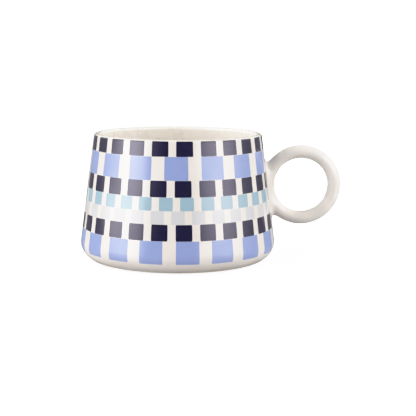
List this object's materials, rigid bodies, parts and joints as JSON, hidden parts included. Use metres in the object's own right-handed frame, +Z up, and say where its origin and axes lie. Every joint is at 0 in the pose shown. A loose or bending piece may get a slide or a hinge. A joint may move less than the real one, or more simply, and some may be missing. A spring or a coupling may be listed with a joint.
{
  "type": "mug",
  "caption": "Low wide stoneware mug with a leaning wall, a round ring handle and seven hand-printed rows of colour blocks on a smooth ivory glaze.",
  "frame": {"origin": "centre of the foot ring's flat face, on the mug's axis", "axes": "+Z up along the mug's axis, +X from the axis towards the ring handle, so the handle lies in the XZ plane and the mug is seen from -Y"},
  "size_m": [0.1447, 0.1082, 0.0695],
  "materials": {
    "bare_clay": "unglazed fired stoneware, matt and slightly sandy",
    "slip_clay": "fine joining slip, fired",
    "cream_glaze": "smooth satin-gloss cream glaze",
    "ivory_glaze": "smooth glossy ivory glaze",
    "navy_colour": "glossy navy colour block on the glaze",
    "blue_colour": "glossy periwinkle blue colour block on the glaze",
    "aqua_colour": "glossy pale aqua colour block on the glaze",
    "grey_colour": "glossy pale lavender-grey colour block on the glaze"
  },
  "bodies": {
    "root": {"cup_body": "bare_clay", "ring_handle": "bare_clay", "handle_slip": "slip_clay", "liner_glaze": "cream_glaze", "outer_glaze": "ivory_glaze", "handle_glaze": "ivory_glaze", "base_glaze": "ivory_glaze", "navy_row_top": "navy_colour", "blue_row_top": "blue_colour", "navy_row_middle": "navy_colour", "aqua_row": "aqua_colour", "grey_row": "grey_colour", "navy_row_low": "navy_colour", "blue_row_low": "blue_colour"}
  },
  "joints": []
}
